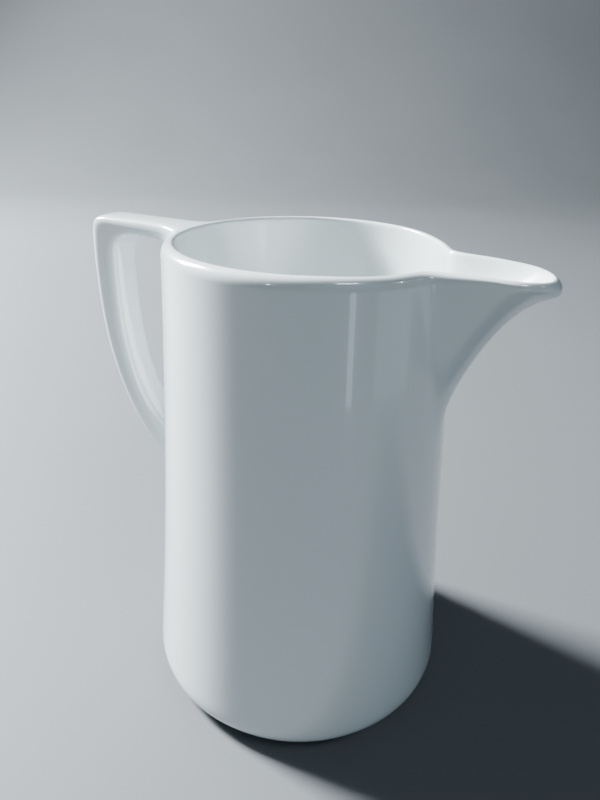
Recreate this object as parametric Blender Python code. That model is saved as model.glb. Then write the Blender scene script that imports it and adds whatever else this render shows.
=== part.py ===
"""A large glazed ceramic water jug: a tapered body with a beak spout, a strap handle and a foot ring.

Metres, +Z up. The jug stands on z = 0 with its spout towards +X and its handle towards -X.
The origin is on the standing surface, under the middle of the jug's overall length, so the
body's own axis lies a little way along +X.
"""

import math

import bmesh
import bpy

# Body: a hollow cone with a slightly hollow outline, a rounded heel and a rounded rim.
RIM_HEIGHT = 0.190  # standing surface to the top of the rim
RIM_RADIUS = 0.0529  # outside, at the rim
BASE_RADIUS = 0.0646  # outside, at the widest place just above the heel
WALL_HOLLOW = 0.0015  # how far the outline curves in from a straight taper
WALL = 0.0046
FLOOR = 0.0065
FLOOR_CORNER = 0.014  # radius where the inside wall meets the floor
HEEL_RADIUS = 0.0072
HEEL_LIFT = 0.0019  # the heel's lowest line stands this far clear of the surface
RIM_SHOULDER = 0.0034  # rounding of the rim's outer edge
RIM_INNER_EDGE = 0.0012
RIM_DIP = 0.0010  # how far the rim sinks on both sides of the spout
RIM_DIP_FROM = math.radians(65)  # angle from the spout where it starts to sink
RIM_DIP_FULL = math.radians(25)
RIM_DIP_DEPTH = 0.040  # the sinking fades out this far below the rim

# Foot ring: the turned, unglazed footing, let into a recess under the body.
FOOT_INSET = 0.0009  # from the heel's lowest line to the outside of the ring
FOOT_WIDTH = 0.0065
FOOT_HEIGHT = 0.0032
FOOT_CHAMFER = 0.0006

# Spout: a beak with a parabolic keel that runs out of the wall and up to a blunt tip.
SPOUT_LENGTH = 0.0339  # outside of the rim to the tip
SPOUT_DEPTH = 0.058  # rim down to the place where the keel leaves the wall
KEEL_SINK = 0.0010  # the keel starts this far inside the wall's surface
SPOUT_LIP = 0.0050  # depth of the upright face at the tip, from the rim line to the keel
SPOUT_DROOP = 0.0012  # how far the rim line sinks towards the tip
SPOUT_ROOT_HALF_WIDTH = 0.0177
SPOUT_TIP_HALF_WIDTH = 0.0140
SPOUT_NOSE = 0.0112  # length of the rounded end
SPOUT_FLARE = 0.008  # size of the hollow curve between the wall and the spout's sides, at the rim
SPOUT_FLARE_LEAST = 0.004  # and at the keel's foot
SPOUT_WALL = 0.0035  # the spout is drawn out thinner than the body's wall
SPOUT_EDGE_TIGHTENING = 0.35  # the rim's outer rounding is this much shallower on the spout
SPOUT_EDGE_RUN = 0.25  # share of the spout's length over which it tightens
TIP_BEVEL = 0.5  # how far the rounding flattens towards a plain bevel at the tip
TIP_BEVEL_FROM = 0.50  # share of the spout's length where the flattening starts
TIP_BEVEL_FULL = 0.85  # and where it is complete
KEEL_THICKENING = 0.6  # extra height of the channel's bottom, for each unit of wall

# Joint between body and spout: an arch cut down from the rim, wider and deeper than the spout's root.
ARCH_SIDE_MARGIN = 0.0108
ARCH_FOOT_MARGIN = 0.010

# Handle: a level bar almost flush with the rim, and a strap that curves down and back to the wall.
HANDLE_LENGTH = 0.0454  # outside of the rim to the outside of the strap
HANDLE_RISE = 0.0006  # top of the bar above the rim
HANDLE_WIDTH = 0.0164
HANDLE_DROP = 0.1168  # rim down to the place where the strap's outside enters the wall
STRAP_FOOT_HEIGHT = 0.0217  # height of the strap's lower joint on the wall
BAR_THICKNESS = 0.0067
BAR_ROOT_THICKENING = 0.0030  # the bar is this much deeper where it enters the wall
BAR_FLARE_LENGTH = 0.012  # and the deepening starts this far out from the rim
STRAP_THICKNESS = 0.0119
HANDLE_TOP_CORNER = 0.0045
HANDLE_TOP_SETBACK = 0.0012  # the top corner stands this far inside the strap's reach
FINGER_CORNER = 0.0095  # radius of the finger hole's upper outer corner
HANDLE_EDGE = 0.0028  # rounding of the long edges
# The strap's two outlines are smooth curves. Each pull is how far (out, along) a curve is drawn at one end.
OUTSIDE_TOP_PULL = (0.0020, 0.040)
OUTSIDE_FOOT_PULL = (0.0010, 0.032)
INSIDE_TOP_PULL = (0.0010, 0.032)
INSIDE_FOOT_PULL = (-0.0010, 0.007)

JOINT_GAP = 0.0003  # the slip joint between one piece and the next

SPOUT_REACH = RIM_RADIUS + SPOUT_LENGTH
HANDLE_REACH = RIM_RADIUS + HANDLE_LENGTH
BODY_AXIS_X = (HANDLE_REACH - SPOUT_REACH) / 2
SPOUT_FOOT_HEIGHT = RIM_HEIGHT - SPOUT_DEPTH
WALL_BOTTOM = HEEL_LIFT + HEEL_RADIUS
HEEL_CENTRE = BASE_RADIUS - HEEL_RADIUS
FOOT_RADIUS = HEEL_CENTRE - FOOT_INSET
ARCH_HALF_WIDTH = SPOUT_ROOT_HALF_WIDTH + ARCH_SIDE_MARGIN
ARCH_DEPTH = SPOUT_DEPTH + ARCH_FOOT_MARGIN

TURNED_SEGMENTS = 80
WALL_ROWS = 10
ROUND_STEPS = 4
CORNER_STEPS = 6
ARCH_STEPS = 14  # on each side of the arch's middle
SPOUT_COLUMNS = 22  # on each side of the keel
COLUMN_CROWDING = 0.35  # draws the columns towards the keel
BLANK_MARGIN = math.radians(6)  # the spout's blank reaches this far beyond the arch
PORCELAIN = (0.86, 0.88, 0.87, 1.0)
BISQUE = (0.78, 0.74, 0.67, 1.0)


def clear_scene():
    for item in list(bpy.data.objects):
        bpy.data.objects.remove(item, do_unlink=True)


def make_material(name, colour, roughness):
    material = bpy.data.materials.new(name)
    material.use_nodes = True
    shader = material.node_tree.nodes["Principled BSDF"]
    shader.inputs["Base Color"].default_value = colour
    shader.inputs["Roughness"].default_value = roughness
    shader.inputs["Metallic"].default_value = 0.0
    return material


def finish_object(name, bm, material=None, smooth_angle=35):
    """Makes the bmesh one named object that stands on the body's axis."""
    bmesh.ops.recalc_face_normals(bm, faces=bm.faces)
    mesh = bpy.data.meshes.new(name)
    bm.to_mesh(mesh)
    bm.free()
    mesh.shade_smooth()
    mesh.set_sharp_from_angle(angle=math.radians(smooth_angle))
    if material:
        mesh.materials.append(material)
    piece = bpy.data.objects.new(name, mesh)
    piece.location.x = BODY_AXIS_X
    bpy.context.scene.collection.objects.link(piece)
    return piece


def add_boolean(piece, name, cutter_bm, operation):
    """Cuts the piece with a hidden helper made from the bmesh."""
    cutter = finish_object(name, cutter_bm)
    cutter.hide_render = True
    cutter.display_type = "WIRE"
    modifier = piece.modifiers.new(name, "BOOLEAN")
    modifier.operation = operation
    modifier.solver = "EXACT"
    modifier.object = cutter


def arc(centre, radius, start, end, steps=ROUND_STEPS):
    """Points on an arc from angle start to angle end, in degrees, both ends included."""
    angles = [math.radians(start + (end - start) * k / steps) for k in range(steps + 1)]
    return [(centre[0] + radius * math.cos(a), centre[1] + radius * math.sin(a)) for a in angles]


def cubic_curve(points, steps):
    """Points on the cubic curve with these four control points, both ends included."""
    curve = []
    for k in range(steps + 1):
        t = k / steps
        weights = ((1 - t) ** 3, 3 * t * (1 - t) ** 2, 3 * t * t * (1 - t), t**3)
        curve.append(tuple(sum(w * p[axis] for w, p in zip(weights, points)) for axis in (0, 1)))
    return curve


def inner_rows(low, high):
    """Heights of the rows between two heights, both ends left out."""
    return [low + (high - low) * k / WALL_ROWS for k in range(1, WALL_ROWS)]


def turn(profile, closed=False):
    """Turns a profile of (radius, height) points about the axis into a bmesh."""
    bm = bmesh.new()
    points = [bm.verts.new((radius, 0, height)) for radius, height in profile]
    pairs = list(zip(points, points[1:]))
    if closed:
        pairs.append((points[-1], points[0]))
    edges = [bm.edges.new(pair) for pair in pairs]
    bmesh.ops.spin(
        bm, geom=points + edges, cent=(0, 0, 0), axis=(0, 0, 1), angle=2 * math.pi,
        steps=TURNED_SEGMENTS, use_merge=True,
    )
    bmesh.ops.remove_doubles(bm, verts=bm.verts, dist=1e-7)
    return bm


def loft(loops):
    """Bridges loops of (x, y, z) points, each with as many points, and closes both ends."""
    bm = bmesh.new()
    rings = []
    for loop in loops:
        points = [bm.verts.new(point) for point in loop]
        rings.append([bm.edges.new(pair) for pair in zip(points, points[1:] + points[:1])])
    for first, second in zip(rings, rings[1:]):
        bmesh.ops.bridge_loops(bm, edges=first + second)
    for ring in (rings[0], rings[-1]):
        bmesh.ops.edgeloop_fill(bm, edges=ring)
    return bm


# ---------------------------------------------------------------- wall and rim, with the spout drawn out


def wall_radius(height):
    """Outside radius of the body's wall at a height above the heel."""
    rise = (height - WALL_BOTTOM) / (RIM_HEIGHT - WALL_BOTTOM)
    straight = BASE_RADIUS + (RIM_RADIUS - BASE_RADIUS) * rise
    return straight - 4 * WALL_HOLLOW * rise * (1 - rise)


def share_along_spout(reach):
    """0 at the rim's outside and 1 at the tip."""
    return (reach - RIM_RADIUS) / SPOUT_LENGTH


def rim_line(reach):
    """Height of the rim at a distance out along the spout."""
    return RIM_HEIGHT - SPOUT_DROOP * max(0.0, share_along_spout(reach)) ** 6


def spout_half_width(reach, inset):
    """Half width of the spout's plan at the rim. An inset of 0 is the outside and WALL the inside."""
    taper = (SPOUT_TIP_HALF_WIDTH - SPOUT_ROOT_HALF_WIDTH) * share_along_spout(reach)
    along_nose = max(0.0, (reach + inset - SPOUT_REACH + SPOUT_NOSE) / SPOUT_NOSE)
    return (SPOUT_ROOT_HALF_WIDTH + taper - inset) * math.sqrt(max(0.0, 1 - along_nose**2))


def keel_height(reach, inset):
    """Height of the spout's keel, a parabola that levels out at the tip."""
    tip = RIM_HEIGHT - SPOUT_DROOP - SPOUT_LIP
    start = wall_radius(SPOUT_FOOT_HEIGHT) - KEEL_SINK
    back = (SPOUT_REACH - inset - reach) / (SPOUT_REACH - start)
    return tip + KEEL_THICKENING * inset - (tip - SPOUT_FOOT_HEIGHT) * back**2


def inside_spout(reach, across, height, inset):
    """True where a point in plan lies inside the spout's section at this height."""
    keel = keel_height(reach, inset)
    depth = rim_line(reach) - keel
    if height <= keel or depth <= 0:
        return False
    share = min(1.0, (height - keel) / depth)
    return across < spout_half_width(reach, inset) * math.sqrt(share)


def spout_radius(angle, height, inset):
    """Distance from the body's axis to the spout's side at this angle from its keel, by halving."""
    near, far = 0.0, SPOUT_REACH - inset
    for _ in range(30):
        middle = (near + far) / 2
        if inside_spout(middle * math.cos(angle), middle * math.sin(abs(angle)), height, inset):
            near = middle
        else:
            far = middle
    return near


def skin_radius(angle, height, inset):
    """Distance to the wall with the spout drawn out of it, the two joined by a hollow curve."""
    wall = wall_radius(height) - inset
    spout = spout_radius(angle, height, inset * SPOUT_WALL / WALL)
    rise = max(0.0, (height - SPOUT_FOOT_HEIGHT) / SPOUT_DEPTH)
    flare = SPOUT_FLARE_LEAST + (SPOUT_FLARE - SPOUT_FLARE_LEAST) * rise
    near = max(0.0, 1 - abs(wall - spout) / flare)
    return max(wall, spout) + near**2 * flare / 4


def rim_rounding():
    """(inset, depth below the rim line) over the rim, from the outside to the inside."""
    shoulder = arc((RIM_SHOULDER, RIM_SHOULDER), RIM_SHOULDER, 180, 270)
    return shoulder + arc((WALL - RIM_INNER_EDGE, RIM_INNER_EDGE), RIM_INNER_EDGE, 270, 360)


def eased(share):
    """A smooth step from 0 to 1."""
    share = min(1.0, max(0.0, share))
    return share * share * (3 - 2 * share)


def edge_depth(reach, inset, depth):
    """Depth of a point on the rim's outer rounding, which tightens on the spout and flattens at its tip."""
    if inset >= RIM_SHOULDER or depth > RIM_SHOULDER:
        return depth
    share = share_along_spout(reach)
    rounded = depth * (1 - SPOUT_EDGE_TIGHTENING * eased(share / SPOUT_EDGE_RUN))
    flattened = TIP_BEVEL * eased((share - TIP_BEVEL_FROM) / (TIP_BEVEL_FULL - TIP_BEVEL_FROM))
    return rounded + (RIM_SHOULDER - inset - rounded) * flattened


def sink_rim(bm):
    """Lets the rim down a little on both sides of the spout, and the wall under it with it."""
    for vertex in bm.verts:
        angle = abs(math.atan2(vertex.co.y, vertex.co.x))
        near = eased((RIM_DIP_FROM - angle) / (RIM_DIP_FROM - RIM_DIP_FULL))
        high = max(0.0, (vertex.co.z - RIM_HEIGHT + RIM_DIP_DEPTH) / RIM_DIP_DEPTH)
        vertex.co.z -= RIM_DIP * near * high


# ---------------------------------------------------------------- body and foot ring


def body_profile():
    """(radius, height) from the middle of the underside, out, up, over the rim and back to the floor."""
    seat_radius = FOOT_RADIUS + JOINT_GAP
    seat_height = FOOT_HEIGHT + JOINT_GAP
    profile = [(0.0, seat_height), (seat_radius, seat_height), (seat_radius, HEEL_LIFT)]
    profile += arc((HEEL_CENTRE, WALL_BOTTOM), HEEL_RADIUS, -90, 0, CORNER_STEPS)
    profile += [(wall_radius(z), z) for z in inner_rows(WALL_BOTTOM, RIM_HEIGHT - RIM_SHOULDER)]
    profile += [(RIM_RADIUS - inset, RIM_HEIGHT - depth) for inset, depth in rim_rounding()]
    floor_top = seat_height + FLOOR
    corner_height = floor_top + FLOOR_CORNER
    corner_radius = wall_radius(corner_height) - WALL
    for z in inner_rows(RIM_HEIGHT - RIM_INNER_EDGE, corner_height):
        profile.append((wall_radius(z) - WALL, z))
    profile += arc((corner_radius - FLOOR_CORNER, corner_height), FLOOR_CORNER, 0, -90, CORNER_STEPS)
    return profile + [(0.0, floor_top)]


def build_body(material):
    bm = turn(body_profile())
    sink_rim(bm)
    body = finish_object("body", bm, material)
    add_boolean(body, "spout_seat_cutter", arch_block(JOINT_GAP), "DIFFERENCE")
    return body


def build_foot_ring(material):
    inner = FOOT_RADIUS - FOOT_WIDTH
    profile = [
        (inner + FOOT_CHAMFER, 0),
        (FOOT_RADIUS - FOOT_CHAMFER, 0),
        (FOOT_RADIUS, FOOT_CHAMFER),
        (FOOT_RADIUS, FOOT_HEIGHT),
        (inner, FOOT_HEIGHT),
        (inner, FOOT_CHAMFER),
    ]
    return finish_object("foot_ring", turn(profile, closed=True), material)


# ---------------------------------------------------------------- spout


def arch_block(clearance):
    """A long block whose end view is the arch between body and spout, enlarged by the clearance."""
    half_width = ARCH_HALF_WIDTH + clearance
    foot = RIM_HEIGHT - ARCH_DEPTH - clearance
    above = RIM_HEIGHT + RIM_SHOULDER
    outline = [(-half_width, above)]
    for k in range(-ARCH_STEPS, ARCH_STEPS + 1):
        share = k / ARCH_STEPS
        outline.append((half_width * share, foot + (RIM_HEIGHT - foot) * share**2))
    outline.append((half_width, above))
    ends = (RIM_RADIUS / 3, SPOUT_REACH + WALL)
    return loft([[(x, y, z) for y, z in outline] for x in ends])


def spout_section(angle, bottom):
    """(radius, height) round the wall's section at this angle, from the outside's foot to the inside's."""
    reach = skin_radius(angle, RIM_HEIGHT, 0) * math.cos(angle)
    top = rim_line(reach)
    outside = [bottom] + inner_rows(bottom, top - RIM_SHOULDER)
    inside = [bottom] + inner_rows(bottom, top - RIM_INNER_EDGE)
    spots = [(0.0, height) for height in outside]
    spots += [(inset, top - edge_depth(reach, inset, depth)) for inset, depth in rim_rounding()]
    spots += [(WALL, height) for height in reversed(inside)]
    return [(skin_radius(angle, height, inset), height) for inset, height in spots]


def build_spout(material):
    bottom = RIM_HEIGHT - ARCH_DEPTH - WALL
    spread = math.asin(ARCH_HALF_WIDTH / (RIM_RADIUS - WALL)) + BLANK_MARGIN
    loops = []
    for k in range(-SPOUT_COLUMNS, SPOUT_COLUMNS + 1):
        share = k / SPOUT_COLUMNS
        angle = spread * share * abs(share) ** COLUMN_CROWDING
        section = spout_section(angle, bottom)
        loops.append([(r * math.cos(angle), r * math.sin(angle), z) for r, z in section])
    bm = loft(loops)
    sink_rim(bm)
    spout = finish_object("spout", bm, material)
    add_boolean(spout, "spout_cutter", arch_block(0.0), "INTERSECT")
    return spout


# ---------------------------------------------------------------- handle


def strap_curve(start, end, top_pull, foot_pull, steps):
    """The smooth curve from a point at the strap's top to one at its foot."""
    top = (start[0] + top_pull[0], start[1] - top_pull[1])
    foot = (start[0] + foot_pull[0], end[1] + foot_pull[1])
    return cubic_curve([start, top, foot, end], steps)


def handle_outline():
    """(distance out from the axis, height) round the handle's side view."""
    top = RIM_HEIGHT + HANDLE_RISE
    bar_bottom = top - BAR_THICKNESS
    root = RIM_RADIUS - WALL / 2
    foot_height = RIM_HEIGHT - HANDLE_DROP
    foot = wall_radius(foot_height) - WALL / 2
    corner_end = HANDLE_REACH - HANDLE_TOP_SETBACK
    corner = arc((corner_end - HANDLE_TOP_CORNER, top - HANDLE_TOP_CORNER), HANDLE_TOP_CORNER, 90, 0)
    outside_pulls = [(out + HANDLE_TOP_SETBACK, along) for out, along in (OUTSIDE_TOP_PULL, OUTSIDE_FOOT_PULL)]
    outside = strap_curve(corner[-1], (foot, foot_height), *outside_pulls, 18)
    inner = HANDLE_REACH - STRAP_THICKNESS
    finger = arc((inner - FINGER_CORNER, bar_bottom - FINGER_CORNER), FINGER_CORNER, 0, 90, CORNER_STEPS)
    inside = strap_curve(
        finger[0], (foot, foot_height + STRAP_FOOT_HEIGHT), INSIDE_TOP_PULL, INSIDE_FOOT_PULL, 14
    )
    underside = [(RIM_RADIUS + BAR_FLARE_LENGTH, bar_bottom), (root, bar_bottom - BAR_ROOT_THICKENING)]
    return [(root, top)] + corner + outside[1:] + inside[::-1] + finger[1:] + underside


def wall_block():
    """The solid cone inside the body's outer surface, enlarged by the joint's gap, that seats the handle."""
    above = RIM_HEIGHT + BAR_THICKNESS
    heights = [WALL_BOTTOM] + inner_rows(WALL_BOTTOM, RIM_HEIGHT) + [RIM_HEIGHT]
    profile = [(0.0, WALL_BOTTOM)]
    profile += [(wall_radius(height) + JOINT_GAP, height) for height in heights]
    return turn(profile + [(RIM_RADIUS + JOINT_GAP, above), (0.0, above)])


def build_handle(material):
    half_width = HANDLE_WIDTH / 2
    outline = handle_outline()
    bm = loft([[(-out, y, height) for out, height in outline] for y in (-half_width, half_width)])
    long_edges = [edge for edge in bm.edges if edge.verts[0].co.y == edge.verts[1].co.y]
    bmesh.ops.bevel(
        bm, geom=long_edges, offset=HANDLE_EDGE, offset_type="OFFSET", segments=3, profile=0.5,
        affect="EDGES", material=-1,
    )
    handle = finish_object("handle", bm, material)
    add_boolean(handle, "handle_seat_cutter", wall_block(), "DIFFERENCE")
    return handle


def build_jug():
    clear_scene()
    glaze = make_material("white_glaze", PORCELAIN, 0.08)
    bisque = make_material("unglazed_foot", BISQUE, 0.75)
    build_body(glaze)
    build_foot_ring(bisque)
    build_spout(glaze)
    build_handle(glaze)


build_jug()
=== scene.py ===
import math

import bmesh
import bpy
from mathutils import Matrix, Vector


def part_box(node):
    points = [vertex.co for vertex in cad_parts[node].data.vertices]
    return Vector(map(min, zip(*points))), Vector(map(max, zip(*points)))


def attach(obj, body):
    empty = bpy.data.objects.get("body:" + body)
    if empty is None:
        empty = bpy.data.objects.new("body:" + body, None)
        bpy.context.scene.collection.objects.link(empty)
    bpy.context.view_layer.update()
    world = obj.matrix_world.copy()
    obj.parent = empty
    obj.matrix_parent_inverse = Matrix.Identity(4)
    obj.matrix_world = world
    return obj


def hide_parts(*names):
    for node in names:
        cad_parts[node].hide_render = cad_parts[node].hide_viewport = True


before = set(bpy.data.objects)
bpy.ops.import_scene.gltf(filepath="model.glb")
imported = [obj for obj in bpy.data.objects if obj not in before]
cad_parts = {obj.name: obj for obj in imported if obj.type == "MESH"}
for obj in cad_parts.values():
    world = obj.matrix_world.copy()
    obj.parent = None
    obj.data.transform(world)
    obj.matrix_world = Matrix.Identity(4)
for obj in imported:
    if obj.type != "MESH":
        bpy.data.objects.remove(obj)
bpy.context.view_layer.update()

# ---------------------------------------------------------------- glazed clay: body, spout and handle
# A vessel of white clay with a beak spout and a handle luted to its wall, fired under one clear glaze, so
# that no joint shows. The wall is a slightly hollow cone, the spout is drawn out of it by a formula, row by
# row, and the handle is bridged into two openings in the same mesh.

body_low, body_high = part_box("body")
_, spout_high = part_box("spout")

AXIS_X = (body_low.x + body_high.x) / 2
BASE_RADIUS = (body_high.x - body_low.x) / 2
RIM_HEIGHT = 0.190
RIM_RADIUS = 0.0529
WALL_HOLLOW = 0.0015  # how far the outline curves in from a straight taper
WALL = 0.0046
FLOOR_HEIGHT = 0.0100
FLOOR_CORNER = 0.014
FLOOR_MIDDLE = 0.030
HEEL_RADIUS = 0.0072
HEEL_LIFT = body_low.z
HEEL_LEAD_IN = 0.0006
WALL_BOTTOM = HEEL_LIFT + HEEL_RADIUS
HEEL_CENTRE = BASE_RADIUS - HEEL_RADIUS
RIM_SHOULDER = 0.0034  # rounding of the rim's outer edge
RIM_INNER_EDGE = 0.0012
RIM_DIP = 0.0010  # the rim sinks this much towards the spout
RIM_DIP_FROM = math.radians(65)  # angle from the spout where the dip starts
RIM_DIP_FULL = math.radians(25)
RIM_DIP_DEPTH = 0.040  # the wall below takes part in the dip over this depth

SPOUT_REACH = spout_high.x - AXIS_X
SPOUT_LENGTH = SPOUT_REACH - RIM_RADIUS
SPOUT_FOOT_HEIGHT = 0.132
KEEL_SINK = 0.0010  # the keel starts this far inside the wall's outer face
SPOUT_LIP = 0.0063  # depth of the tip, from which the smoothing takes about a millimetre again
SPOUT_DROOP = 0.0012
SPOUT_ROOT_HALF_WIDTH = 0.0177
SPOUT_TIP_HALF_WIDTH = 0.0140
SPOUT_NOSE = 0.0112  # the round end of the tip starts this far back
SPOUT_FLARE = 0.008  # size of the hollow curve between wall and spout at the rim
SPOUT_FLARE_LEAST = 0.004  # and at the keel's foot
SPOUT_WALL = 0.0035
SPOUT_EDGE_TIGHTENING = 0.35  # the rim's outer rounding is this much shallower on the spout
SPOUT_EDGE_RUN = 0.25  # share of the spout's length over which it tightens
TIP_BEVEL = 0.5  # how far the rounding flattens towards a plain bevel at the tip
TIP_BEVEL_FROM = 0.50  # share of the spout's length where the flattening starts
TIP_BEVEL_FULL = 0.85  # and where it is complete
SPOUT_SPREAD = math.radians(60)  # nothing of the spout lies at a wider angle than this
KEEL_THICKENING = 0.6  # the inside of the keel is raised by this share of the wall
HALVINGS = 30

COLUMNS = 76
ANGLE_STEPS = 720
SPOUT_ZONE = math.radians(38)  # within this angle of the spout the columns stand closer together
PLAIN_CROWDING = 0.62
SMOOTH_LEVELS = 2


def wall_radius(height):
    """Outside radius of the wall at a height above the standing surface."""
    rise = (height - WALL_BOTTOM) / (RIM_HEIGHT - WALL_BOTTOM)
    straight = BASE_RADIUS + (RIM_RADIUS - BASE_RADIUS) * rise
    return straight - 4 * WALL_HOLLOW * rise * (1 - rise)


def share_along_spout(reach):
    return (reach - RIM_RADIUS) / SPOUT_LENGTH


def rim_line(reach):
    """Height of the rim at a distance out along the spout."""
    return RIM_HEIGHT - SPOUT_DROOP * max(0.0, share_along_spout(reach)) ** 6


def spout_half_width(reach, inset):
    taper = (SPOUT_TIP_HALF_WIDTH - SPOUT_ROOT_HALF_WIDTH) * share_along_spout(reach)
    along_nose = max(0.0, (reach + inset - SPOUT_REACH + SPOUT_NOSE) / SPOUT_NOSE)
    return (SPOUT_ROOT_HALF_WIDTH + taper - inset) * math.sqrt(max(0.0, 1 - along_nose**2))


def keel_height(reach, inset):
    """The keel is a parabola that leaves the wall and levels out at the tip."""
    tip = RIM_HEIGHT - SPOUT_DROOP - SPOUT_LIP
    start = wall_radius(SPOUT_FOOT_HEIGHT) - KEEL_SINK
    back = (SPOUT_REACH - inset - reach) / (SPOUT_REACH - start)
    return tip + KEEL_THICKENING * inset - (tip - SPOUT_FOOT_HEIGHT) * back**2


def inside_spout(reach, across, height, inset):
    keel = keel_height(reach, inset)
    depth = rim_line(reach) - keel
    if height <= keel or depth <= 0:
        return False
    share = min(1.0, (height - keel) / depth)
    return across < spout_half_width(reach, inset) * math.sqrt(share)


def spout_radius(angle, height, inset):
    """Distance from the axis to the spout's side at this angle, by halving."""
    if abs(angle) > SPOUT_SPREAD:
        return 0.0
    near, far = 0.0, SPOUT_REACH - inset
    for _ in range(HALVINGS):
        middle = (near + far) / 2
        if inside_spout(middle * math.cos(angle), middle * math.sin(abs(angle)), height, inset):
            near = middle
        else:
            far = middle
    return near


def skin_radius(angle, height, inset):
    """Distance to the wall with the spout drawn out of it, the two joined by a hollow curve."""
    wall = wall_radius(height) - inset
    spout = spout_radius(angle, height, inset * SPOUT_WALL / WALL)
    rise = max(0.0, (height - SPOUT_FOOT_HEIGHT) / (RIM_HEIGHT - SPOUT_FOOT_HEIGHT))
    flare = SPOUT_FLARE_LEAST + (SPOUT_FLARE - SPOUT_FLARE_LEAST) * rise
    near = max(0.0, 1 - abs(wall - spout) / flare)
    return max(wall, spout) + near**2 * flare / 4


def eased(share):
    """A smooth step from 0 to 1."""
    share = min(1.0, max(0.0, share))
    return share * share * (3 - 2 * share)


def edge_depth(reach, inset, depth):
    """Depth of a point on the rim's outer rounding, which tightens on the spout and flattens at its tip."""
    if inset >= RIM_SHOULDER or depth > RIM_SHOULDER:
        return depth
    share = share_along_spout(reach)
    rounded = depth * (1 - SPOUT_EDGE_TIGHTENING * eased(share / SPOUT_EDGE_RUN))
    flattened = TIP_BEVEL * eased((share - TIP_BEVEL_FROM) / (TIP_BEVEL_FULL - TIP_BEVEL_FROM))
    return rounded + (RIM_SHOULDER - inset - rounded) * flattened


def sunk(angle, height):
    """The height after the rim is let down a little towards the spout."""
    near = eased((RIM_DIP_FROM - abs(angle)) / (RIM_DIP_FROM - RIM_DIP_FULL))
    high = max(0.0, (height - RIM_HEIGHT + RIM_DIP_DEPTH) / RIM_DIP_DEPTH)
    return height - RIM_DIP * near * high


def turned_row(radius, height):
    return lambda angle: (radius, height)


def wall_row(height, inset=0.0):
    return lambda angle: (skin_radius(angle, height, inset), height)


def rim_row(depth, inset=0.0):
    """A row that follows the rim line at this depth below it."""

    def spot(angle):
        reach = skin_radius(angle, RIM_HEIGHT, 0) * math.cos(angle)
        height = rim_line(reach) - edge_depth(reach, inset, depth)
        return skin_radius(angle, height, inset), height

    return spot


def arc(centre, radius, start, end, steps):
    angles = [math.radians(start + (end - start) * k / steps) for k in range(steps + 1)]
    return [(centre[0] + radius * math.cos(a), centre[1] + radius * math.sin(a)) for a in angles]


def column_angles():
    """The columns' angles round the axis, spaced by the rim's own length and closer near the spout."""
    fine = [math.pi * k / ANGLE_STEPS for k in range(ANGLE_STEPS + 1)]
    spots = [skin_radius(a, RIM_HEIGHT - RIM_SHOULDER, 0) for a in fine]
    run = [0.0]
    for k in range(1, len(fine)):
        here = Vector((spots[k] * math.cos(fine[k]), spots[k] * math.sin(fine[k])))
        before = Vector((spots[k - 1] * math.cos(fine[k - 1]), spots[k - 1] * math.sin(fine[k - 1])))
        run.append(run[-1] + (here - before).length * (1 if fine[k] < SPOUT_ZONE else PLAIN_CROWDING))
    half = COLUMNS // 2
    found = [0.0]
    k = 0
    for n in range(1, half):
        want = run[-1] * n / half
        while run[k + 1] < want:
            k += 1
        found.append(fine[k] + (fine[k + 1] - fine[k]) * (want - run[k]) / (run[k + 1] - run[k]))
    found.append(math.pi)
    return found + [-a for a in found[-2:0:-1]]


ANGLES = column_angles()


def add_loop(bm, points):
    """A closed loop of edges through these points."""
    made = bmesh.ops.create_circle(bm, cap_ends=False, radius=1.0, segments=len(points))["verts"]
    for vertex, point in zip(made, points):
        vertex.co = point
    return list(made)


def loop_edges(bm, loop):
    return [bm.edges.get(pair) for pair in zip(loop, loop[1:] + loop[:1])]


def bridge(bm, first, second):
    bmesh.ops.bridge_loops(bm, edges=loop_edges(bm, first) + loop_edges(bm, second))


def skin_loop(bm, row):
    points = []
    for angle in ANGLES:
        radius, height = row(angle)
        place = (AXIS_X + radius * math.cos(angle), radius * math.sin(angle), sunk(angle, height))
        points.append(place)
    return add_loop(bm, points)


# Rows from the middle of the underside, out and up to the rim, closer where the strap joins the wall.
UNDERSIDE = [(0.030, 0.0043), (0.0462, 0.0042), (0.0495, 0.0036), (0.0530, 0.0034), (0.0563, 0.0032)]
LOWER_WALL = [0.016, 0.024, 0.033, 0.042, 0.051, 0.061]
STRAP_JOINT = [0.0705, 0.0744, 0.0782, 0.0821, 0.0859, 0.0898, 0.0936, 0.0975]
MIDDLE_WALL = [0.106, 0.115, 0.124]
UPPER_WALL = [0.132, 0.138, 0.144, 0.150, 0.1555, 0.161, 0.166, 0.171]
BELOW_RIM = [0.0130, 0.0100, 0.0072, 0.0054, 0.0045]
outer_rows = [turned_row(*spot) for spot in UNDERSIDE]
outer_rows.append(turned_row(HEEL_CENTRE - HEEL_LEAD_IN, HEEL_LIFT + HEEL_LEAD_IN / 2))
outer_rows += [turned_row(*spot) for spot in arc((HEEL_CENTRE, WALL_BOTTOM), HEEL_RADIUS, -90, 0, 3)]
outer_rows += [wall_row(height) for height in LOWER_WALL]
strap_joint_from = len(outer_rows)
outer_rows += [wall_row(height) for height in STRAP_JOINT]
outer_rows += [wall_row(height) for height in MIDDLE_WALL + UPPER_WALL]
outer_rows += [rim_row(depth) for depth in BELOW_RIM]
shoulder = arc((RIM_SHOULDER, RIM_SHOULDER), RIM_SHOULDER, 180, 270, 3)
outer_rows += [rim_row(depth, inset) for inset, depth in shoulder]
crest = len(outer_rows) - 1

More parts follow.
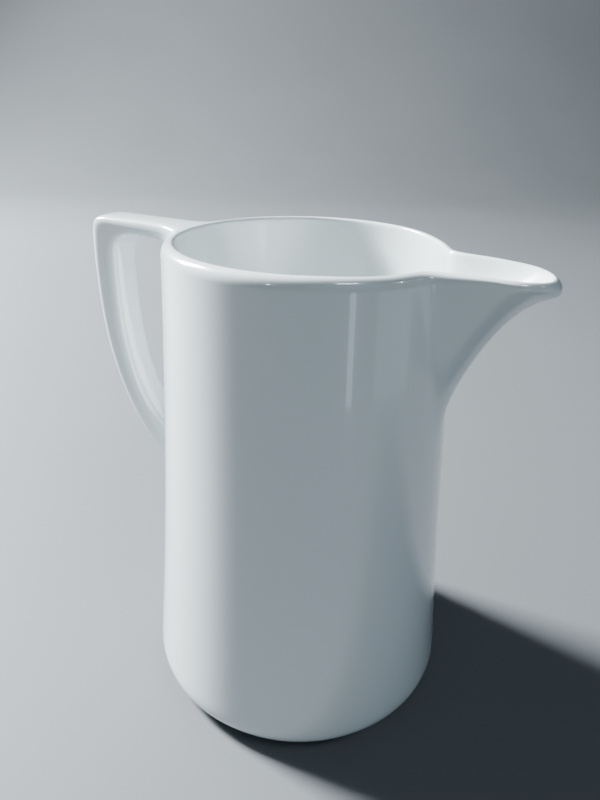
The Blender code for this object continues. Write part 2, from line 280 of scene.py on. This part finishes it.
# Rows from the rim down the inside to the middle of the floor.
INSIDE_RIM = [0.0035, 0.0075, 0.0120]
INSIDE_WALL = [0.171, 0.163, 0.155, 0.147, 0.139, 0.131, 0.120, 0.102, 0.082, 0.062, 0.042]
inner_edge = arc((WALL - RIM_INNER_EDGE, RIM_INNER_EDGE), RIM_INNER_EDGE, 270, 360, 2)[1:]
inner_rows = [rim_row(depth, inset) for inset, depth in inner_edge]
inner_rows += [rim_row(depth, WALL) for depth in INSIDE_RIM]
inner_rows += [wall_row(height, WALL) for height in INSIDE_WALL]
corner_height = FLOOR_HEIGHT + FLOOR_CORNER
corner_radius = wall_radius(corner_height) - WALL
floor_corner = arc((corner_radius - FLOOR_CORNER, corner_height), FLOOR_CORNER, 0, -90, 3)
inner_rows += [turned_row(*spot) for spot in floor_corner]
inner_rows.append(turned_row(FLOOR_MIDDLE, FLOOR_HEIGHT))

END_FACE_INSET = 0.8 * FLOOR_MIDDLE
skin = bmesh.new()
loops = [skin_loop(skin, row) for row in outer_rows + inner_rows]
for lower, upper in zip(loops, loops[1:]):
    bridge(skin, lower, upper)
for end in (loops[0], loops[-1]):
    middle = bmesh.ops.edgeloop_fill(skin, edges=loop_edges(skin, end))["faces"]
    bmesh.ops.inset_individual(skin, faces=middle, thickness=END_FACE_INSET)

# The handle, a level bar and a curved strap: smooth curves bound it in side view, and rounded sections
# stand along them, from the rim round to the wall.
handle_low, handle_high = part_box("handle")
HANDLE_REACH = AXIS_X - handle_low.x
HANDLE_TOP = handle_high.z
HANDLE_HALF_WIDTH = (handle_high.y - handle_low.y) / 2
BAR_THICKNESS = 0.0067
STRAP_THICKNESS = 0.0119
OUTSIDE_FOOT_HEIGHT = 0.0732
INSIDE_FOOT_HEIGHT = 0.0949
HANDLE_TOP_CORNER = 0.0045
HANDLE_TOP_SETBACK = 0.0007
FINGER_CORNER = 0.0095
BAR_TOP_ROUNDING = 0.0032
BAR_UNDER_ROUNDING = 0.0024
CORNER_ROUNDING = [0.0033, 0.0038, 0.0040, 0.0034, 0.0029]
STRAP_OUTER_ROUNDING = 0.0027
STRAP_INNER_ROUNDING = 0.0042
CROWN = 0.0001  # how far each outer and inner face falls from its middle to its rounded edges
CORNER_PULL = 0.19  # how far a rounded corner's middle point stands in from the sharp corner, per rounding
CORNER_STEPS = 4
CORNER_LEAN = 0.04  # the strap's outside leans out this much per length below the corner
CORNER_POINT = 0.0002  # the corner itself stands this far out
UNDER_SETBACK = 0.001  # the bar's sections lean, with their lower end this much nearer the wall
STRAP_LEAD = 0.06  # the outside curve's first share, which the corner's sections take up
JOINT_COLUMNS = 4  # the handle's openings are this many columns wide
JOINT_ROWS = 7


def cubic_point(points, t):
    weights = ((1 - t) ** 3, 3 * t * (1 - t) ** 2, 3 * t * t * (1 - t), t**3)
    return tuple(sum(w * p[axis] for w, p in zip(weights, points)) for axis in (0, 1))


def section(outer, inner, outer_rounding, inner_rounding, widening=0.0):
    """A rounded rectangle across the handle between an outer and an inner point of the side view."""
    start, end = Vector(outer), Vector(inner)
    thickness = (end - start).length
    down = (end - start) / thickness
    half = HANDLE_HALF_WIDTH + widening
    first, second = outer_rounding, inner_rounding
    a = first * CORNER_PULL
    b = second * CORNER_PULL
    middle = [first + (thickness - first - second) * k / (JOINT_ROWS - 2) for k in range(1, JOINT_ROWS - 2)]
    side = [(half, v) for v in [first] + middle + [thickness - second]]
    spots = [(0, 0), (half - first, CROWN), (half - a, a + CROWN)] + side
    spots += [(half - b, thickness - b - CROWN), (half - second, thickness - CROWN), (0, thickness)]
    spots += [(-u, v) for u, v in spots[-2:0:-1]]
    points = []
    for across, depth in spots:
        out = start + down * depth
        points.append((AXIS_X - out.x, across, out.y))
    return points


bar_bottom = HANDLE_TOP - BAR_THICKNESS
corner_out = HANDLE_REACH - HANDLE_TOP_SETBACK
inner_out = HANDLE_REACH - STRAP_THICKNESS
strap_foot_out = wall_radius(OUTSIDE_FOOT_HEIGHT) - WALL / 2
outside_curve = [
    (corner_out, HANDLE_TOP - HANDLE_TOP_CORNER),
    (HANDLE_REACH + 0.0008, HANDLE_TOP - HANDLE_TOP_CORNER - 0.040),
    (HANDLE_REACH + 0.0010, OUTSIDE_FOOT_HEIGHT + 0.032),
    (strap_foot_out, OUTSIDE_FOOT_HEIGHT),
]
finger_centre = (inner_out - FINGER_CORNER, bar_bottom - FINGER_CORNER)
inside_curve = [
    (inner_out, finger_centre[1]),
    (inner_out + 0.0010, finger_centre[1] - 0.032),
    (inner_out - 0.0010, INSIDE_FOOT_HEIGHT + 0.007),
    (strap_foot_out, INSIDE_FOOT_HEIGHT),
]
stations = []

# The bar, from the rim outwards: distance out, extra depth below, sinking of the top, widening.
BAR = [
    (0.0567, 0.0030, 0.0003, 0.0012),
    (0.0605, 0.0016, 0.0001, 0.0003),
    (0.0660, 0.0004, 0, 0),
    (0.0730, 0, 0, 0),
]
for out, deeper, sink, widening in BAR:
    outer = (out, HANDLE_TOP - sink)
    inner = (out - UNDER_SETBACK, bar_bottom - deeper)
    stations.append(section(outer, inner, BAR_TOP_ROUNDING, BAR_UNDER_ROUNDING, widening))

# The corner: the outside is nearly sharp, and the inside a quarter of a circle. Each outside point is a
# distance out along the top or a distance down the strap, with the corner itself between them.
CORNER_OUTSIDE = [(0.0806, 0), (0.0885, 0), None, (0, 0.0090), (0, 0.0165)]
for k, spot in enumerate(CORNER_OUTSIDE):
    angle = math.radians(90 - 90 / CORNER_STEPS * k)
    inner = (
        finger_centre[0] + FINGER_CORNER * math.cos(angle),
        finger_centre[1] + FINGER_CORNER * math.sin(angle),
    )
    inner_rounding = BAR_UNDER_ROUNDING + (STRAP_INNER_ROUNDING - BAR_UNDER_ROUNDING) * k / CORNER_STEPS
    if spot is None:
        outer = (corner_out + CORNER_POINT, HANDLE_TOP)
    elif spot[0]:
        outer = (spot[0], HANDLE_TOP)
    else:
        outer = (corner_out + CORNER_LEAN * spot[1], HANDLE_TOP - spot[1])
    stations.append(section(outer, inner, CORNER_ROUNDING[k], inner_rounding))

# The strap, down to just outside the wall: shares of the way along its two curves.
STRAP = [0.12, 0.22, 0.32, 0.42, 0.52, 0.62, 0.71, 0.79, 0.86, 0.915, 0.955]
for t in STRAP:
    outer = cubic_point(outside_curve, STRAP_LEAD + (1 - STRAP_LEAD) * t)
    inner = cubic_point(inside_curve, t)
    stations.append(section(outer, inner, STRAP_OUTER_ROUNDING, STRAP_INNER_ROUNDING))


def joint_edges(bm, from_row):
    """Removes a block of faces behind the handle and gives the edges of the opening."""
    left = COLUMNS // 2 - JOINT_COLUMNS // 2
    columns = range(left, left + JOINT_COLUMNS + 1)
    rows = range(from_row, from_row + JOINT_ROWS + 1)
    block = {loops[row][column] for row in rows for column in columns}
    faces = [face for face in bm.faces if all(vertex in block for vertex in face.verts)]
    edges = dict.fromkeys(edge for face in faces for edge in face.edges)
    border = [edge for edge in edges if sum(face in faces for face in edge.link_faces) == 1]
    bmesh.ops.delete(bm, geom=faces, context="FACES")
    return border


handle_loops = [add_loop(skin, points) for points in stations]
for near, far in zip(handle_loops, handle_loops[1:]):
    bridge(skin, near, far)
top_joint = joint_edges(skin, crest - JOINT_ROWS)
strap_joint = joint_edges(skin, strap_joint_from)
bmesh.ops.bridge_loops(skin, edges=top_joint + loop_edges(skin, handle_loops[0]))
bmesh.ops.bridge_loops(skin, edges=strap_joint + loop_edges(skin, handle_loops[-1]))
bmesh.ops.recalc_face_normals(skin, faces=skin.faces)


def make_piece(name, bm, levels=0):
    mesh = bpy.data.meshes.new(name)
    bm.to_mesh(mesh)
    bm.free()
    mesh.shade_smooth()
    piece = bpy.data.objects.new(name, mesh)
    bpy.context.scene.collection.objects.link(piece)
    if levels:
        smooth = piece.modifiers.new("smooth", "SUBSURF")
        smooth.levels = levels
        smooth.render_levels = levels
    return piece


jug = make_piece("jug_glazed_clay", skin, SMOOTH_LEVELS)


def new_material(name):
    material = bpy.data.materials.new(name)
    material.use_nodes = True
    nodes = material.node_tree.nodes
    return material, nodes, material.node_tree.links, nodes["Principled BSDF"]


glaze, nodes, links, shader = new_material("white_glaze")
place = nodes.new("ShaderNodeTexCoord")


def noise(scale, detail=2.0, stretch=(1, 1, 1)):
    spread = nodes.new("ShaderNodeMapping")
    spread.inputs["Scale"].default_value = stretch
    links.new(place.outputs["Object"], spread.inputs["Vector"])
    made = nodes.new("ShaderNodeTexNoise")
    made.inputs["Scale"].default_value = scale
    made.inputs["Detail"].default_value = detail
    links.new(spread.outputs["Vector"], made.inputs["Vector"])
    return made


def ramp(source, stops):
    made = nodes.new("ShaderNodeValToRGB")
    elements = made.color_ramp.elements
    elements[0].position, elements[0].color = stops[0][0], (*stops[0][1], 1)
    elements[1].position, elements[1].color = stops[-1][0], (*stops[-1][1], 1)
    for position, colour in stops[1:-1]:
        elements.new(position).color = (*colour, 1)
    links.new(source, made.inputs["Fac"])
    return made


def span(source, low, high):
    made = nodes.new("ShaderNodeMapRange")
    made.inputs["To Min"].default_value = low
    made.inputs["To Max"].default_value = high
    links.new(source, made.inputs["Value"])
    return made


def bump(source, distance, strength, below=None):
    made = nodes.new("ShaderNodeBump")
    made.inputs["Distance"].default_value = distance
    made.inputs["Strength"].default_value = strength
    links.new(source, made.inputs["Height"])
    if below:
        links.new(below.outputs["Normal"], made.inputs["Normal"])
    return made


tint = ramp(noise(9, 3).outputs["Fac"], [(0.3, (0.685, 0.735, 0.740)), (0.7, (0.715, 0.760, 0.760))])
links.new(tint.outputs["Color"], shader.inputs["Base Color"])
rough = span(noise(40, 4).outputs["Fac"], 0.16, 0.24)
links.new(rough.outputs["Result"], shader.inputs["Roughness"])
swell = bump(noise(22, 1, (1, 1, 0.45)).outputs["Fac"], 0.00035, 0.5)
peel = bump(noise(420, 2).outputs["Fac"], 0.00001, 0.5, swell)
links.new(peel.outputs["Normal"], shader.inputs["Normal"])
links.new(swell.outputs["Normal"], shader.inputs["Coat Normal"])
shader.inputs["Coat Weight"].default_value = 1.0
shader.inputs["Coat Roughness"].default_value = 0.035
shader.inputs["Coat IOR"].default_value = 1.5
jug.data.materials.append(glaze)
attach(jug, "root")
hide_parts("body", "spout", "handle")

# ---------------------------------------------------------------- foot ring
# The bare clay ring that the jug stands on, turned in one with the body and wiped clean of glaze. Its
# standing edges are broken, and the glaze stops just above it.

ring_low, ring_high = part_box("foot_ring")

RING_OUTSIDE = (ring_high.x - ring_low.x) / 2
RING_WIDTH = 0.0065
RING_TOP = ring_high.z
RING_CHAMFER = 0.0007
RING_STEPS = 128
ring_profile = [
    (RING_OUTSIDE - RING_WIDTH + RING_CHAMFER, 0),
    (RING_OUTSIDE - RING_CHAMFER, 0),
    (RING_OUTSIDE, RING_CHAMFER),
    (RING_OUTSIDE, RING_TOP),
    (RING_OUTSIDE - RING_WIDTH, RING_TOP),
    (RING_OUTSIDE - RING_WIDTH, RING_CHAMFER),
]
ring_mesh = bmesh.new()
ring_points = [ring_mesh.verts.new((AXIS_X + radius, 0, height)) for radius, height in ring_profile]
ring_edges = [ring_mesh.edges.new(pair) for pair in zip(ring_points, ring_points[1:] + ring_points[:1])]
bmesh.ops.spin(
    ring_mesh,
    geom=ring_points + ring_edges,
    cent=(AXIS_X, 0, 0),
    axis=(0, 0, 1),
    angle=2 * math.pi,
    steps=RING_STEPS,
    use_merge=True,
)
bmesh.ops.remove_doubles(ring_mesh, verts=ring_mesh.verts, dist=1e-7)
bmesh.ops.recalc_face_normals(ring_mesh, faces=ring_mesh.faces)
ring = make_piece("foot_ring_bare_clay", ring_mesh)
ring.data.set_sharp_from_angle(angle=math.radians(30))

bisque, nodes, links, shader = new_material("bare_clay")
place = nodes.new("ShaderNodeTexCoord")
grain = ramp(noise(260, 4).outputs["Fac"], [(0.35, (0.58, 0.52, 0.43)), (0.7, (0.76, 0.71, 0.62))])
links.new(grain.outputs["Color"], shader.inputs["Base Color"])
links.new(span(noise(150, 2).outputs["Fac"], 0.7, 0.9).outputs["Result"], shader.inputs["Roughness"])
links.new(bump(noise(900, 3).outputs["Fac"], 0.0001, 0.6).outputs["Normal"], shader.inputs["Normal"])
ring.data.materials.append(bisque)
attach(ring, "root")
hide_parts("foot_ring")

# ---------------------------------------------------------------- floor
# A sheet of plain pale grey paper with a dull surface, swept up behind the jug into a backdrop.
# It squares up to the camera, and reaches far past the picture's edges.

CAMERA_TURN = 0.4693
SWEEP_WIDTH = 5.0
SWEEP_FRONT = 2.0  # from the jug to the edge of the sheet behind the camera
SWEEP_BACK = 1.4  # from the jug to the place where the sheet starts to rise
SWEEP_RADIUS = 0.8
SWEEP_STEPS = 12
SWEEP_HEIGHT = 3.0

sweep_line = [(-SWEEP_FRONT, 0.0)]
sweep_line += arc((SWEEP_BACK, SWEEP_RADIUS), SWEEP_RADIUS, -90, 0, SWEEP_STEPS)
sweep_line.append((SWEEP_BACK + SWEEP_RADIUS, SWEEP_HEIGHT))


def sweep_point(along, across, height):
    """A point on the sheet, from its distance beyond the jug and across the view, as the camera looks."""
    x = across * math.cos(CAMERA_TURN) - along * math.sin(CAMERA_TURN)
    y = along * math.cos(CAMERA_TURN) + across * math.sin(CAMERA_TURN)
    return x, y, height


floor_mesh = bmesh.new()
near_side = [sweep_point(along, -SWEEP_WIDTH / 2, height) for along, height in sweep_line]
near_ends = [floor_mesh.verts.new(point) for point in near_side]
near_edges = [floor_mesh.edges.new(pair) for pair in zip(near_ends, near_ends[1:])]
sheet = bmesh.ops.extrude_edge_only(floor_mesh, edges=near_edges)["geom"]
across = Vector(sweep_point(0, SWEEP_WIDTH, 0))
bmesh.ops.translate(floor_mesh, vec=across, verts=[v for v in sheet if isinstance(v, bmesh.types.BMVert)])
bmesh.ops.recalc_face_normals(floor_mesh, faces=floor_mesh.faces)
floor = make_piece("floor", floor_mesh)
floor_material, nodes, links, shader = new_material("floor")
place = nodes.new("ShaderNodeTexCoord")
floor_tint = ramp(noise(3, 2).outputs["Fac"], [(0.3, (0.096, 0.102, 0.107)), (0.7, (0.104, 0.110, 0.115))])
links.new(floor_tint.outputs["Color"], shader.inputs["Base Color"])
shader.inputs["Roughness"].default_value = 0.7
floor.data.materials.append(floor_material)

# ---------------------------------------------------------------- light
# One big soft window on the handle's side and a dim, bluish room on the other, both as panels of light.
# Small panes of light stand where the glaze mirrors them on the wall, the lip and the tip.

LOOK_AT = Vector((AXIS_X, 0, RIM_HEIGHT / 2))
DAYLIGHT = (0.90, 0.96, 1.0)
PANE_LIGHT = (0.92, 0.97, 1.0)
BLUE_SKY = (0.45, 0.72, 1.0)


def area_light(name, bearing, rise, distance, size, power, colour, height=None):
    """A soft rectangle of light, turned to the jug, that a height then moves up or down.

    The bearing is in degrees round the axis from +X, and the rise in degrees above the level.
    """
    data = bpy.data.lights.new(name, "AREA")
    data.shape = "RECTANGLE"
    data.size, data.size_y = size
    data.energy = power
    data.color = colour
    lamp = bpy.data.objects.new(name, data)
    turn, lift = math.radians(bearing), math.radians(rise)
    away = Vector((math.cos(turn) * math.cos(lift), math.sin(turn) * math.cos(lift), math.sin(lift)))
    lamp.location = LOOK_AT + away * distance
    if height is not None:
        lamp.location.z = height
    lamp.rotation_euler = away.to_track_quat("Z", "Y").to_euler()
    lamp.visible_camera = False
    bpy.context.scene.collection.objects.link(lamp)


area_light("window", 178, 34, 2.0, (0.36, 0.70), 385, DAYLIGHT)
area_light("room", -30, 36, 2.2, (1.6, 1.2), 2.6, BLUE_SKY)
area_light("lip_strip", -21, 57, 1.2, (0.26, 0.035), 2.4, PANE_LIGHT)
area_light("side_strip", -94, 27, 1.2, (0.05, 0.04), 0.5, PANE_LIGHT)
area_light("tip_strip", 18, 40, 1.2, (0.05, 0.04), 0.5, PANE_LIGHT)
area_light("low_strip", -34, 0, 0.43, (0.030, 0.14), 0.036, (0.70, 0.86, 1.0), height=0.071)
area_light("low_pane", -2, 0, 0.43, (0.22, 0.17), 0.06, (0.60, 0.80, 1.0), height=0.086)

# The room beyond the sheet: pale to look at, and only a faint cool glow as a light.
world = bpy.data.worlds.new("studio")
bpy.context.scene.world = world
world.use_nodes = True
nodes, links = world.node_tree.nodes, world.node_tree.links
glow = nodes["Background"]
glow.inputs["Color"].default_value = (*BLUE_SKY, 1)
glow.inputs["Strength"].default_value = 0.08
pale = nodes.new("ShaderNodeBackground")
pale.inputs["Color"].default_value = (0.60, 0.63, 0.66, 1)
seen = nodes.new("ShaderNodeMixShader")
links.new(nodes.new("ShaderNodeLightPath").outputs["Is Camera Ray"], seen.inputs["Fac"])
links.new(glow.outputs["Background"], seen.inputs[1])
links.new(pale.outputs["Background"], seen.inputs[2])
links.new(seen.outputs["Shader"], nodes["World Output"].inputs["Surface"])

# ---------------------------------------------------------------- camera
# It stands close in front of the jug and looks down on it,
# with the handle on its left and the spout on its right.

camera_data = bpy.data.cameras.new("camera")
camera_data.lens = 27.9
camera_data.clip_start = 0.01
camera = bpy.data.objects.new("camera", camera_data)
camera.location = (0.10316, -0.20286, 0.23585)
camera.rotation_euler = (1.1165, -0.0260, CAMERA_TURN)
bpy.context.scene.collection.objects.link(camera)
bpy.context.scene.camera = camera
